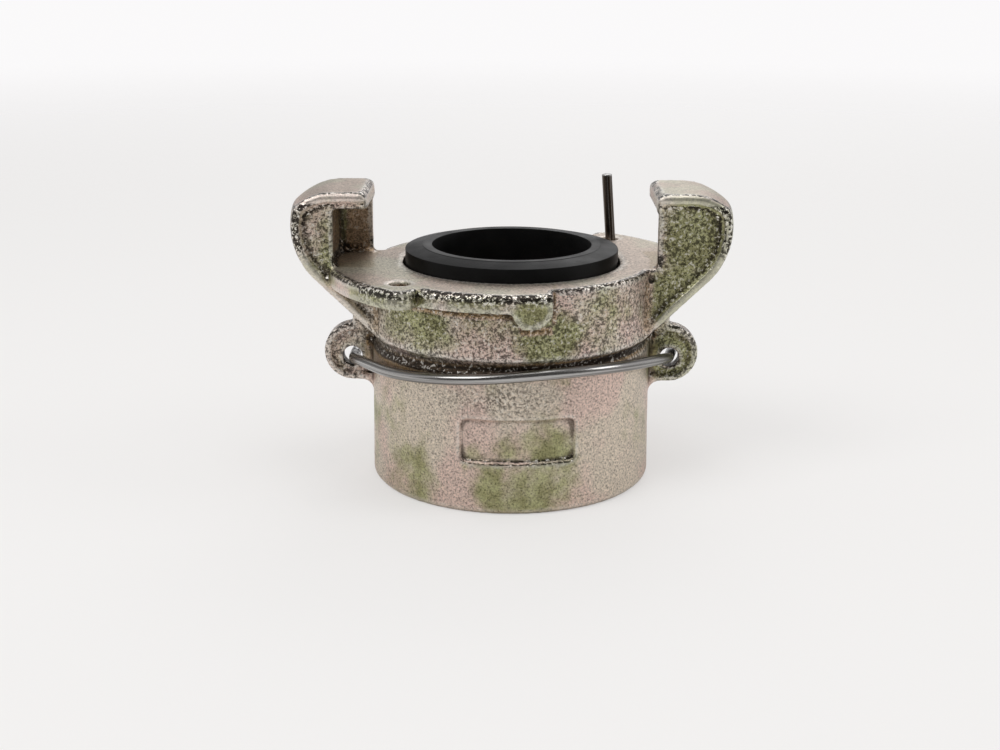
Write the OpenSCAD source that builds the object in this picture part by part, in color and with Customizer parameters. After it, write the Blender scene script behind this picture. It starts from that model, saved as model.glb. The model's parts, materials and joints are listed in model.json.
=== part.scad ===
// Claw hose coupling: one half of a twist-lock pair, with a female pipe thread below, a rubber
// face seal on top, two hooked claws and a sprung safety pin bent from one wire.
// Origin: centre of the bottom face. Z runs up the waterway, X through the two claws.

/* [Socket and waterway] */
// Thickness of the skirt's wall at its bottom edge, outside the thread crests
skirt_wall = 10.7; // [8:0.1:14]
// How much narrower the skirt's radius is at its top
skirt_taper = 0.3; // [0:0.1:2]
// Height of the skirt, up to the middle of the spring's groove
skirt_h = 33.8; // [32:0.1:40]
// Radius of the threaded bore, at the thread crests (G 1 1/2)
thread_r = 22.42; // [18:0.01:25]
// Length of the threaded bore
thread_len = 21; // [15:0.5:26]
// Radius of the waterway and of the hole in the seal
water_r = 18.75; // [14:0.05:20]

/* [Neck and flange] */
// Height of the neck, from the groove up to the flange's top face
neck_h = 17.7; // [15:0.1:22]
// Thickness of the flange and of its lips
flange_t = 4.1; // [3:0.1:5]
// How far the neck stands out from the top of the skirt
neck_out = 0.5; // [0:0.1:1.5]
// How far the two lips, which a mating claw hooks over, stand out of the neck
lip_w = 4.3; // [3:0.1:5]
// How far the wide part of the flange, beside each claw, stands out of the neck
wide_w = 9.9; // [8:0.1:11]
// How far the locking tongue hangs below the lip
tongue_drop = 3.6; // [2:0.1:5]
// Width of the locking tongue
tongue_w = 6.9; // [6:0.1:9]
// Radius of the groove's section
groove_cut_r = 1.8; // [1.6:0.1:2.4]

/* [Claws] */
// Width of a claw, across its two side faces
claw_w = 23.4; // [18:0.1:28]
// Height of the pocket that a mating lip turns into, above the flange
pocket_h = 13.4; // [10:0.1:16]
// Thickness of the hook over the pocket
hook_t = 4; // [3:0.1:5]
// How far the hook reaches in over a mating lip's edge
hook_grip = 4.7; // [3:0.1:5]
// Room between a mating lip's edge and the pocket's outer wall
pocket_room = 4.4; // [3:0.1:5]
// Thickness of the claw outside its pocket
claw_wall = 9.4; // [7:0.1:12]
// Thickness of the wall that closes one side of the pocket
pocket_wall = 3.4; // [2.5:0.1:6]
// Depth of the cast recess in the claw's side faces
recess_d = 1.2; // [0.5:0.1:1.5]
// Width of the rim left round that recess
rim_w = 2.3; // [1.5:0.1:3]

/* [Ears] */
// How far an ear's hole lies out from the skirt
ear_out = 5; // [4.5:0.1:6]
// How far an ear's hole lies below the spring's groove
ear_drop = 5.6; // [4:0.1:8]
// Radius of an ear's hole
ear_hole_r = 2.3; // [2.1:0.05:2.6]
// Radius of an ear's round end
ear_r = 6.9; // [6:0.1:8]
// Thickness of an ear
ear_t = 5; // [4:0.1:7]

/* [Seal] */
// Width of the seal's ring where it stands out of the flange
seal_w = 6.25; // [4:0.05:7]
// Height of the seal's top above the flange
seal_stand = 3.9; // [3:0.1:5]
// Depth of the seal's seat below the flange
seat_depth = 4.8; // [4:0.1:6]

/* [Safety spring] */
// Diameter of the spring wire
wire_d = 2.5; // [2:0.1:2.8]
// How far the safety pin stands above the flange
pin_stand = 16.4; // [13:0.1:20]
// Radius of the flange's two pin holes
pin_hole_r = 2.35; // [2.1:0.05:2.6]
// How far a pin hole lies out from the neck
pin_hole_out = 2.5; // [2.3:0.1:3.2]
// Azimuth of the hole that the pin stands in
pin_az = 46.8; // [42:0.1:50]

/* [Hidden] */
$fn = 96;
cast_green = [0.60, 0.59, 0.49];
black_rubber = [0.09, 0.09, 0.09];
spring_steel = [0.55, 0.56, 0.57];
far = 60;

skirt_r = thread_r + skirt_wall;
skirt_top_r = skirt_r - skirt_taper;
neck_r = skirt_top_r + neck_out;
groove_z = skirt_h;
flange_z = skirt_h + neck_h;
under_z = flange_z - flange_t;
lip_r = neck_r + lip_w;
wide_r = neck_r + wide_w;
groove_out = 0.6;
// How far inside the neck's face the arms, the ears, the flange and the lips start
arm_root = 3.3;
flange_root = 4;
// How far a cut runs on past the face that it opens
cut_over = 5;
edge_round = 1.5;
neck_round = 0.8;

seal_r = water_r + seal_w;
seal_gap = 0.6;
seat_r = seal_r + seal_gap;
seat_z = flange_z - seat_depth;
seat_groove_h = 2.6;
seal_foot_out = 1.4;
seal_foot_r = seal_r + seal_foot_out;
seal_foot_clear = 0.3;
seal_foot_h = seat_groove_h - seal_foot_clear;
seal_top_z = flange_z + seal_stand;
seal_band_w = 2.4;
seal_slope = 0.7;
seal_edge = 0.3;

thread_chamfer = 1.6;
relief_depth = 1.9;
relief_r = thread_r + relief_depth;
relief_len = 4;
relief_slope = 1;
cone_len = 10;
cone_end_z = thread_len + relief_len + cone_len;
bottom_round = 0.9;

lip_end_x = 8.9;
lip_start_az = 60;
lip_end_az = 120;
lip_lap_az = 10;
wide_corner_r = 3.5;
wide_corner_az = 52.5;
tongue_corner_r = 4.4;
tongue_small_r = 0.8;

half_w = claw_w / 2;
hook_in_x = lip_r - hook_grip;
hook_under_z = flange_z + pocket_h;
claw_top_z = hook_under_z + hook_t;
pocket_r = lip_r + pocket_room;
claw_out_r = pocket_r + claw_wall;
claw_bulge_r = 16.8;
claw_bulge_x = claw_out_r - claw_bulge_r;
claw_bulge_up = 9.1;
claw_bulge_z = flange_z + claw_bulge_up;
claw_crown_r = 12.3;
claw_crown_x = pocket_r;
claw_corner_r = 2.4;
claw_edge_r = 1.2;
nose_round = 2;
wall_set_back = 0.5;
wall_in_x = hook_in_x + wall_set_back;
pocket_fillet = 2;
pocket_in_y = half_w - pocket_wall;
arm_fillet = 6;
// Slope of an arm's underside
arm_slope = 45;
face_y = half_w - recess_d;
// How much nearer to the YZ plane the claw's turned outside comes at its side faces
face_shift = claw_out_r - sqrt(pow(claw_out_r, 2) - pow(face_y, 2));

ear_x = skirt_top_r + ear_out;
ear_hole_z = skirt_h - ear_drop;
// Middle of an ear's round end, a little above the hole
ear_c = [ear_x, ear_hole_z] + [-0.2, 1.1];
ear_base_z = ear_c.y - ear_r;
ear_web = 4;
ear_fillet = 3;
ear_recess = 0.6;
ear_rim = 1.4;
ear_in_x = neck_r - arm_root;

panel_x = [-11.3, 14.4];
panel_z = [12, 22];
panel_corner = 1.5;
panel_depth = 0.8;

wire_r = wire_d / 2;
bow_nest = 0.05;
bow_r = neck_r + wire_r - bow_nest;
ear_bend_y = 4;
ear_bend_r = 5;
// The wire lies against the inner side of an ear's hole
hole_slack = 0.45;
hole_wire_x = ear_x - hole_slack;
stub_y = 5;
stub_lean = 0.8;
// The wire's front corners, where its sides, which just touch a circle of the bow's radius, meet the front
ear_bend_far = norm([hole_wire_x, ear_bend_y]);
front_reach = bow_r * tan((90 - atan(ear_bend_y / hole_wire_x) - acos(bow_r / ear_bend_far)) / 2);
back_gap = 3.9;
back_y = neck_r + back_gap;
elbow_reach = 9.1;
pin_lean = 0.076;
pin_hole_at = (neck_r + pin_hole_out) * [cos(pin_az), sin(pin_az)];
// The pin stands a little off the middle of its hole
pin_at = pin_hole_at + [0.4, -0.2];
pin_top_z = flange_z + pin_stand;
elbow_drop = 1.7;
elbow_z = ear_hole_z - elbow_drop;
elbow_r = 4;

// A bend is a hundredth of a millimetre thicker than the wire, and each straight length runs a
// little way into it, so that the lengths and the bends make one solid
bend_swell = 0.01;
wire_lap = 0.1;

// The wire's corners, from the stub behind the right ear round the front, through the left ear
// and round the back to the pin. Each corner after the first has the radius it is bent to, and
// wire_rise has the height of each corner up to the pin's elbow above the ears' holes.
wire_rise = [0.5, 0.5, 6.1, 2.7, 0, -0.7, -1.4];
wire_points = [
    [hole_wire_x + stub_lean, stub_y, ear_hole_z + wire_rise[0]],
    [hole_wire_x, -ear_bend_y, ear_hole_z + wire_rise[1]],
    [front_reach, -bow_r, ear_hole_z + wire_rise[2]],
    [-front_reach, -bow_r, ear_hole_z + wire_rise[3]],
    [-hole_wire_x, -ear_bend_y, ear_hole_z + wire_rise[4]],
    [-hole_wire_x, back_y, ear_hole_z + wire_rise[5]],
    [pin_at.x - elbow_reach, back_y, ear_hole_z + wire_rise[6]],
    [pin_at.x + pin_lean * (flange_z - elbow_z), pin_at.y, elbow_z],
    [pin_at.x - pin_lean * pin_stand, pin_at.y, pin_top_z]
];
front_bend_in = 0.3;
front_bend_r = bow_r - front_bend_in;
back_bend_in = 1.2;
back_bend_r = back_y - back_bend_in;
back_end_r = 24;
wire_bends = [0, ear_bend_r, front_bend_r, front_bend_r, ear_bend_r, back_bend_r, back_end_r,
              elbow_r, 0];

function unit(v) = v / norm(v);

// Turning angle of the wire at corner i, and the length that its bend takes off each side
function turn(p, i) = acos(unit(p[i] - p[i - 1]) * unit(p[i + 1] - p[i]));
function trim(p, r, i) = i == 0 || i == len(p) - 1 ? 0 : r[i] * tan(turn(p, i) / 2) - wire_lap;

module both_ends() {
    children();
    rotate(180) children();
}

// A rectangle whose two corners on the +X side are round
module bar_2d(x0, x1, half, r) {
    translate([x0, -half]) square([x1 - r - x0, 2 * half]);
    translate([x0, -half + r]) square([x1 - x0, 2 * (half - r)]);
    for (s = [-1, 1]) translate([x1 - r, s * (half - r)]) circle(r);
}

// A flat ring with a round upper edge, from radius r0 to r1
module ring(r0, r1, z0, z1, r) {
    rotate_extrude() {
        translate([r0, z0]) square([r1 - r - r0, z1 - z0]);
        translate([r0, z0]) square([r1 - r0, z1 - r - z0]);
        translate([r1 - r, z1 - r]) circle(r);
    }
}

// A sector in plan between two azimuths, less than 180 degrees apart
module sector(a0, a1, z0, z1) {
    mid = (a0 + a1) / 2;
    translate([0, 0, z0]) linear_extrude(z1 - z0)
        polygon([[0, 0], 2 * far * [cos(a0), sin(a0)], 3 * far * [cos(mid), sin(mid)],
                 2 * far * [cos(a1), sin(a1)]]);
}

// Turns a flat outline drawn in X and Z into a slab between two depths along Y
module slab(y0, y1) {
    translate([0, y1, 0]) rotate([90, 0, 0]) linear_extrude(y1 - y0) children();
}

// The skirt, the groove under the neck and the neck, as one turned outline
module core_2d() {
    difference() {
        union() {
            polygon([[0, 0], [skirt_r - bottom_round, 0], [skirt_r, bottom_round],
                     [skirt_top_r, groove_z], [0, groove_z]]);
            translate([0, groove_z]) square([neck_r, flange_z - neck_round - groove_z]);
            translate([0, groove_z]) square([neck_r - neck_round, flange_z - groove_z]);
            translate([neck_r - neck_round, flange_z - neck_round]) circle(neck_round);
        }
        translate([neck_r + groove_out, groove_z]) circle(groove_cut_r);
    }
}

// Everything bored out of the casting, as one turned outline
module bore_2d() {
    polygon([
        [0, -1], [thread_r + thread_chamfer + 1, -1], [thread_r, thread_chamfer],
        [thread_r, thread_len], [relief_r, thread_len + relief_slope], [relief_r, thread_len + relief_len],
        [water_r, cone_end_z], [water_r, seat_z], [seal_foot_r + seal_foot_clear, seat_z],
        [seal_foot_r + seal_foot_clear, seat_z + seat_groove_h], [seat_r, seat_z + seat_groove_h],
        [seat_r, flange_z + 1], [0, flange_z + 1]
    ]);
}

// Outline of a claw and its arm in the plane through the axis, inset by w all round its outside
module claw_2d(w = 0) {
    foot_r = claw_bulge_x + claw_bulge_r * sin(arm_slope);
    foot_z = claw_bulge_z - claw_bulge_r * cos(arm_slope);
    shift = w / cos(arm_slope);
    root_z = foot_z + shift - (foot_r - ear_in_x) * tan(arm_slope);
    intersection() {
        union() {
            intersection() {
                translate([claw_bulge_x, claw_bulge_z]) circle(claw_bulge_r - w);
                union() {
                    translate([claw_crown_x, claw_top_z - claw_crown_r]) circle(claw_crown_r - w);
                    translate([0, foot_z]) square([claw_crown_x, claw_top_z - w - foot_z]);
                    translate([0, foot_z]) square([far, claw_top_z - claw_crown_r - foot_z]);
                }
            }
            square([foot_r - w * sin(arm_slope), foot_z + w + 1]);
        }
        polygon([[ear_in_x, root_z], [foot_r, foot_z + shift], [far, foot_z + shift],
                 [far, claw_top_z + 1], [ear_in_x, claw_top_z + 1]]);
    }
}

// The rounded inner top edge of the hook, as the corner to be cut away
module nose_corner_2d() {
    difference() {
        translate([hook_in_x - 1, claw_top_z - nose_round]) square(nose_round + 1);
        translate([hook_in_x + nose_round, claw_top_z - nose_round]) circle(nose_round);
    }
}

// One claw on the +X side: closed towards -Y, open towards +Y
module claw() {
    difference() {
        intersection() {
            rotate_extrude() claw_2d();
            linear_extrude(claw_top_z + 1)
                bar_2d(ear_in_x, claw_out_r, half_w, claw_corner_r);
            rotate([0, -90, 0]) mirror([0, 0, 1])
                linear_extrude(far) bar_2d(0, claw_top_z, half_w, claw_edge_r);
        }
        translate([0, -far, flange_z]) cube([hook_in_x, 2 * far, far]);
        slab(-far, far) nose_corner_2d();
        pocket();
        for (s = [0, 1]) mirror([0, s, 0]) slab(-half_w - 1, -face_y)
            translate([-face_shift, 0]) claw_2d(rim_w);
    }
}

// The space that a mating lip turns into, with a rounded corner at the foot of the closing wall
module pocket() {
    difference() {
        translate([0, 0, flange_z]) intersection() {
            cylinder(r = pocket_r, h = hook_under_z - flange_z);
            translate([ear_in_x, -pocket_in_y, 0]) cube([far, pocket_in_y + half_w + 1, far]);
        }
        difference() {
            translate([ear_in_x - 1, -pocket_in_y - 1, flange_z - 1])
                cube([far, pocket_fillet + 1, pocket_fillet + 1]);
            translate([ear_in_x - 2, -pocket_in_y + pocket_fillet, flange_z + pocket_fillet])
                rotate([0, 90, 0]) cylinder(r = pocket_fillet, h = far);
            translate([ear_in_x - 2, -pocket_in_y - 2, flange_z + pocket_fillet])
                cube([far, far, far]);
        }
    }
    translate([0, -far, flange_z]) cube([wall_in_x, far, hook_under_z - flange_z]);
}

// Hollow corner between the neck and an arm's side face, on the -Y side of the +X arm
module arm_corner() {
    dip = 0.05;
    cy = face_y + arm_fillet - dip;
    c = [sqrt(pow(neck_r + arm_fillet - dip, 2) - pow(cy, 2)), -cy];
    on_neck = c * (neck_r - dip) / norm(c);
    intersection() {
        rotate_extrude() claw_2d();
        linear_extrude(under_z + 1) difference() {
            polygon([on_neck - [1, 0], [ear_in_x - 1, -face_y + 1], [c.x, -face_y + 1],
                     [c.x, c.y], on_neck]);
            translate(c) circle(arm_fillet);
        }
    }
}

// Flange pieces of one half: the wide part beside the claw at -X, the lip and its tongue
module flange_half() {
    corner = (wide_r - wide_corner_r) * [-sin(90 - wide_corner_az), -cos(90 - wide_corner_az)];
    intersection() {
        ring(neck_r - flange_root, wide_r, under_z, flange_z, edge_round);
        union() {
            sector(180, 180 + wide_corner_az, under_z, flange_z);
            translate([corner.x, corner.y, under_z]) cylinder(r = wide_corner_r, h = flange_t);
        }
    }
    intersection() {
        ring(neck_r - flange_root, lip_r, under_z - tongue_drop, flange_z, edge_round);
        union() {
            translate([-far, -far, under_z]) cube([far + lip_end_x, far, flange_t]);
            slab(-far, 0) tongue_2d();
        }
        sector(180 + lip_start_az - lip_lap_az, 180 + lip_end_az, 0, far);
    }
}

// Front view of the locking tongue at the lip's end
module tongue_2d() {
    x0 = lip_end_x - tongue_w;
    z0 = under_z - tongue_drop;
    rx = lip_end_x - tongue_corner_r;
    translate([x0, z0 + tongue_small_r]) square([rx - x0, tongue_drop + 1]);
    translate([x0 + tongue_small_r, z0]) square([rx - x0 - tongue_small_r, tongue_drop + 1]);
    translate([x0 + tongue_small_r, z0 + tongue_small_r]) circle(tongue_small_r);
    translate([rx, z0 + tongue_corner_r]) circle(tongue_corner_r);
}

// One ear on the +X side, with its hollow foot on the skirt and a shallow recess in each face
module ear() {
    difference() {
        slab(-ear_t / 2, ear_t / 2) {
            translate(ear_c) circle(ear_r);
            translate([ear_in_x, ear_base_z]) square([ear_c.x - ear_in_x, ear_r]);
            polygon([[ear_in_x, ear_c.y], [ear_c.x, ear_c.y], [ear_c.x, ear_c.y + ear_r + ear_web],
                     [ear_in_x, ear_c.y + ear_r]]);
            difference() {
                translate([ear_in_x, ear_base_z - ear_fillet])
                    square([skirt_top_r + ear_fillet - ear_in_x, ear_fillet + 1]);
                translate([skirt_top_r + ear_fillet, ear_base_z - ear_fillet]) circle(ear_fillet);
            }
        }
        for (s = [0, 1]) mirror([0, s, 0]) slab(-ear_t, -ear_t / 2 + ear_recess) {
            translate(ear_c) circle(ear_r - ear_rim);
            translate([skirt_top_r, ear_base_z + ear_rim])
                square([ear_c.x - skirt_top_r, 2 * (ear_r - ear_rim)]);
        }
        translate([ear_x, ear_t, ear_hole_z]) rotate([90, 0, 0])
            cylinder(r = ear_hole_r, h = 2 * ear_t);
    }
}

// Shallow recessed panel on the front of the skirt
module panel_cut() {
    intersection() {
        rotate_extrude() translate([skirt_top_r - panel_depth, 0]) square([far, flange_z]);
        slab(-far, 0) {
            w = panel_x[1] - panel_x[0];
            h = panel_z[1] - panel_z[0];
            translate([panel_x[0] + panel_corner, panel_z[0]]) square([w - 2 * panel_corner, h]);
            translate([panel_x[0], panel_z[0] + panel_corner]) square([w, h - 2 * panel_corner]);
            for (x = panel_x, z = panel_z)
                translate([x == panel_x[0] ? x + panel_corner : x - panel_corner,
                           z == panel_z[0] ? z + panel_corner : z - panel_corner])
                    circle(panel_corner);
        }
    }
}

module coupling_body() {
    color(cast_green) difference() {
        union() {
            both_ends() {
                claw();
                arm_corner();
                mirror([0, 1, 0]) arm_corner();
                ear();
                flange_half();
            }
            rotate_extrude() core_2d();
        }
        rotate_extrude() bore_2d();
        panel_cut();
        both_ends() translate([pin_hole_at.x, pin_hole_at.y, under_z - cut_over])
            cylinder(r = pin_hole_r, h = flange_t + 2 * cut_over);
    }
}

module seal_ring() {
    top = seal_top_z - seal_slope;
    color(black_rubber) rotate_extrude() polygon([
        [water_r, seat_z], [seal_foot_r, seat_z], [seal_foot_r, seat_z + seal_foot_h],
        [seal_r, seat_z + seal_foot_h + seal_foot_clear], [seal_r, top - seal_edge],
        [seal_r - seal_edge, top], [water_r + seal_band_w, seal_top_z], [water_r, seal_top_z]
    ]);
}

// A straight length of wire
module wire_straight(a, b) {
    d = b - a;
    translate(a) rotate([0, acos(d.z / norm(d)), atan2(d.y, d.x)])
        cylinder(r = wire_r, h = norm(d));
}

// A bend of the wire at corner p, arriving along u, leaving along v, with radius r
module wire_bend(p, u, v, r) {
    a = acos(u * v);
    out = unit((v - u));
    side = unit(cross(u, v));
    c = p + out * r / cos(a / 2);
    x = unit(p - u * r * tan(a / 2) - c);
    y = cross(side, x);
    multmatrix([[x.x, y.x, side.x, c.x], [x.y, y.y, side.y, c.y], [x.z, y.z, side.z, c.z],
                [0, 0, 0, 1]])
        rotate_extrude(angle = a) translate([r, 0]) circle(wire_r + bend_swell);
}

module safety_spring() {
    p = wire_points;
    n = len(p);
    color(spring_steel) {
        for (i = [0:n - 2]) {
            u = unit(p[i + 1] - p[i]);
            wire_straight(p[i] + u * trim(p, wire_bends, i),
                          p[i + 1] - u * trim(p, wire_bends, i + 1));
        }
        for (i = [1:n - 2])
            wire_bend(p[i], unit(p[i] - p[i - 1]), unit(p[i + 1] - p[i]), wire_bends[i]);
    }
}

coupling_body();
seal_ring();
safety_spring();
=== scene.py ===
# %% [markdown]
# # A claw hose coupling
#
# This lesson dresses one half of a claw coupling: a zinc-plated casting with two hooked claws, a
# black rubber seal on top and a safety pin bent from spring wire. The solids come from a packed
# CAD model. The lesson makes the cast skin, the thread, the moulded rubber and the bent wire
# round them, and lights them plainly.

import json
import math

import bpy
from mathutils import Matrix, Vector

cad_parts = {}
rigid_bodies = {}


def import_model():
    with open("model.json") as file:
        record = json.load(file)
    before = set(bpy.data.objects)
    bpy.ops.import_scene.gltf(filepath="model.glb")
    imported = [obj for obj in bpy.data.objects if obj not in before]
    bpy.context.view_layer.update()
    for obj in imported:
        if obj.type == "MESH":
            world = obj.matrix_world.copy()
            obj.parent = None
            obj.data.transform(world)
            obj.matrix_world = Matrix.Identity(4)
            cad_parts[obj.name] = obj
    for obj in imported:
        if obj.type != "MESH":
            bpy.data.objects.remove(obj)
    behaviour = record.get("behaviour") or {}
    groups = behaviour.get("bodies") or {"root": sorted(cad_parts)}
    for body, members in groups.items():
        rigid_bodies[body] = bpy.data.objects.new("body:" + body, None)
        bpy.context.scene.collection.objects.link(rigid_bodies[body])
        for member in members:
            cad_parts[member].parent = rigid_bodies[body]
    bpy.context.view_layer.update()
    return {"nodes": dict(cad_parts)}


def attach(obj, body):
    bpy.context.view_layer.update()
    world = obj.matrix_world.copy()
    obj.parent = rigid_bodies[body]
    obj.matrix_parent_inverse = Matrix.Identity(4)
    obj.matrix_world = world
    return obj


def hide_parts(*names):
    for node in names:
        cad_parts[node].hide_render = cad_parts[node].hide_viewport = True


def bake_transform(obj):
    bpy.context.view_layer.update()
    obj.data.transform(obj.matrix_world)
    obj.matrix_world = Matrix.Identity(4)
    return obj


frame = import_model()
MM = 0.001

# %% [markdown]
# ## The camera
#
# The camera stands a little above the flange and looks down at the coupling from in front. Its
# distance and lens were worked out from how the round edges show: the seal, the flange and the
# skirt are all circles, and only one viewing distance flattens all three as they look here. A
# slight shift puts the coupling where it stands in the frame.

# %% Place the camera
LENS_MM = 53.333
SENSOR_MM = 36
VIEW_DISTANCE = 355.36 * MM
VIEW_HEIGHT_DEG = 15.4055
VIEW_ROLL_DEG = 0.36
LOOK_AT = Vector((0, 0, 30 * MM))
SHIFT_X = -0.0111
SHIFT_Y = -0.0280

tilt = math.radians(VIEW_HEIGHT_DEG)
back = Vector((0, -math.cos(tilt), math.sin(tilt)))
bpy.ops.object.select_all(action="DESELECT")
bpy.ops.object.camera_add(location=LOOK_AT + back * VIEW_DISTANCE)
camera = bpy.context.object
camera.name = "camera"
camera.rotation_mode = "QUATERNION"
aim = (-back).to_track_quat("-Z", "Y").to_matrix()
camera.rotation_quaternion = (aim @ Matrix.Rotation(math.radians(VIEW_ROLL_DEG), 3, "Z")).to_quaternion()
camera.data.lens = LENS_MM
camera.data.sensor_width = SENSOR_MM
camera.data.shift_x = SHIFT_X
camera.data.shift_y = SHIFT_Y
bpy.context.scene.camera = camera
print("camera at", [round(v, 4) for v in camera.location])

# %% [markdown]
# ## The studio
#
# The coupling stands on a pale, seamless floor under soft white light. The world gives an even
# light. A large soft lamp from the upper left, smaller ones from the right and from above, and
# one behind make the metal's edges shine.

# %% Set the view transform and the helpers for nodes
bpy.context.scene.view_settings.view_transform = "Standard"


def add_node(tree, kind, values=None, **settings):
    """Adds a node, sets its attributes and the default values of its inputs."""
    made = tree.nodes.new(kind)
    for key, value in settings.items():
        setattr(made, key, value)
    for key, value in (values or {}).items():
        made.inputs[key].default_value = value
    return made


def wire(tree, source, target):
    """Links two sockets."""
    tree.links.new(target, source)


def new_material(name):
    """An empty material, and its tree, Principled shader and output."""
    material = bpy.data.materials.new(name)
    material.use_nodes = True
    tree = material.node_tree
    tree.nodes.clear()
    shader = add_node(tree, "ShaderNodeBsdfPrincipled")
    output = add_node(tree, "ShaderNodeOutputMaterial")
    wire(tree, shader.outputs["BSDF"], output.inputs["Surface"])
    return material, tree, shader


print("helpers ready")

# %% Lay the floor
FLOOR_SIZE = 4.0
FLOOR_COLOUR = (0.86, 0.855, 0.85, 1)
FLOOR_GLOW = (0.92, 0.905, 0.895, 1)
GLOW_SHARE = 0.5
FADE_START = 0.25
FADE_END = 1.3

bpy.ops.mesh.primitive_plane_add(size=FLOOR_SIZE)
floor = bpy.context.object
floor.name = "floor"
floor_paint, tree, shader = new_material("pale_floor")
shader.inputs["Base Color"].default_value = FLOOR_COLOUR
shader.inputs["Roughness"].default_value = 0.8
shader.inputs["Specular IOR Level"].default_value = 0.15
ray = add_node(tree, "ShaderNodeLightPath")
share = add_node(tree, "ShaderNodeMath", {1: GLOW_SHARE}, operation="MULTIPLY")
wire(tree, ray.outputs["Is Camera Ray"], share.inputs[0])
glow = add_node(tree, "ShaderNodeEmission", {"Color": FLOOR_GLOW})
lit = add_node(tree, "ShaderNodeMixShader")
wire(tree, share.outputs[0], lit.inputs["Fac"])
wire(tree, shader.outputs["BSDF"], lit.inputs[1])
wire(tree, glow.outputs[0], lit.inputs[2])
where = add_node(tree, "ShaderNodeTexCoord")
distance = add_node(tree, "ShaderNodeVectorMath", operation="LENGTH")
wire(tree, where.outputs["Object"], distance.inputs[0])
fade = add_node(tree, "ShaderNodeMapRange", {"From Min": FADE_START, "From Max": FADE_END},
                interpolation_type="SMOOTHSTEP")
wire(tree, distance.outputs["Value"], fade.inputs["Value"])
clear = add_node(tree, "ShaderNodeBsdfTransparent")
faded = add_node(tree, "ShaderNodeMixShader")
wire(tree, fade.outputs[0], faded.inputs["Fac"])
wire(tree, lit.outputs[0], faded.inputs[1])
wire(tree, clear.outputs[0], faded.inputs[2])
wire(tree, faded.outputs[0], tree.nodes["Material Output"].inputs["Surface"])
floor.data.materials.append(floor_paint)
print("floor", FLOOR_SIZE, "m wide, gone", FADE_END, "m out")

# %% [markdown]
# Metal shows what stands round it. A studio is bright above and behind the table and darker on
# the side where the camera stands, and that dark side is what draws the dark lines along a
# casting's round edges and along a wire. So the world is even for the light it casts and for
# what the camera sees. Only a mirrored ray meets walls that are a little greyer, and a darker
# room where it leaves towards the camera's side.

# %% Light the coupling
WORLD_COLOUR = (1.0, 0.99, 0.985, 1)
WORLD_STRENGTH = 0.57
BACKDROP_COLOUR = (0.96, 0.95, 0.955, 1)
DARK_SIDE_COLOUR = (0.16, 0.155, 0.15, 1)
DARK_FROM_Y = -0.05
DARK_FULL_Y = -0.65
WALL_SHARE = 0.60
LAMPS = {
    "key_lamp": {"at": (-0.50, -0.42, 0.78), "size": 0.50, "watts": 2.7},
    "side_lamp": {"at": (0.75, -0.10, 0.45), "size": 0.35, "watts": 0.9},
    "rear_lamp": {"at": (0.15, 0.80, 0.60), "size": 0.50, "watts": 1.2},
    "top_lamp": {"at": (0.10, -0.12, 0.90), "size": 0.35, "watts": 1.15},
}

world = bpy.data.worlds.new("studio")
world.use_nodes = True
tree = world.node_tree
light = tree.nodes["Background"]
light.inputs["Color"].default_value = WORLD_COLOUR
light.inputs["Strength"].default_value = WORLD_STRENGTH
where = add_node(tree, "ShaderNodeTexCoord")
way = add_node(tree, "ShaderNodeSeparateXYZ")
wire(tree, where.outputs["Generated"], way.inputs["Vector"])
forward = add_node(tree, "ShaderNodeMapRange", {"From Min": DARK_FROM_Y, "From Max": DARK_FULL_Y},
                   interpolation_type="SMOOTHSTEP")
wire(tree, way.outputs["Y"], forward.inputs["Value"])
ray = add_node(tree, "ShaderNodeLightPath")
mirrored = add_node(tree, "ShaderNodeMath", operation="MULTIPLY")
wire(tree, forward.outputs[0], mirrored.inputs[0])
wire(tree, ray.outputs["Is Glossy Ray"], mirrored.inputs[1])
room = add_node(tree, "ShaderNodeMix", data_type="RGBA")
room.inputs["A"].default_value = BACKDROP_COLOUR
room.inputs["B"].default_value = DARK_SIDE_COLOUR
wire(tree, mirrored.outputs[0], room.inputs["Factor"])
backdrop = add_node(tree, "ShaderNodeBackground")
walls = add_node(tree, "ShaderNodeMapRange", {"To Min": 1.0, "To Max": WALL_SHARE})
wire(tree, ray.outputs["Is Glossy Ray"], walls.inputs["Value"])
wire(tree, walls.outputs[0], backdrop.inputs["Strength"])
wire(tree, room.outputs["Result"], backdrop.inputs["Color"])
seen = add_node(tree, "ShaderNodeMath", operation="MAXIMUM")
wire(tree, ray.outputs["Is Camera Ray"], seen.inputs[0])
wire(tree, ray.outputs["Is Glossy Ray"], seen.inputs[1])
choose = add_node(tree, "ShaderNodeMixShader")
wire(tree, seen.outputs[0], choose.inputs["Fac"])
wire(tree, light.outputs[0], choose.inputs[1])
wire(tree, backdrop.outputs[0], choose.inputs[2])
wire(tree, choose.outputs[0], tree.nodes["World Output"].inputs["Surface"])
bpy.context.scene.world = world
for name, lamp in LAMPS.items():
    place = Vector(lamp["at"])
    bpy.ops.object.light_add(type="AREA", location=place)
    made = bpy.context.object
    made.name = name
    made.data.shape = "SQUARE"
    made.data.size = lamp["size"]
    made.data.energy = lamp["watts"]
    made.rotation_mode = "QUATERNION"
    made.rotation_quaternion = (LOOK_AT - place).to_track_quat("-Z", "Y")
print("lamps:", ", ".join(LAMPS))

# %% [markdown]
# ## Modelling helpers
#
# Every new piece starts from a primitive and is shaped in edit mode. Operators act on whatever
# is selected, so each helper first deselects everything and then picks what it needs.

# %% Helpers for modelling


def pick(piece):
    """Leaves edit mode and makes one piece the selected, active one."""
    if bpy.context.object and bpy.context.object.mode == "EDIT":
        bpy.ops.object.mode_set(mode="OBJECT")
    bpy.ops.object.select_all(action="DESELECT")
    piece.select_set(True)
    bpy.context.view_layer.objects.active = piece


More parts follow.
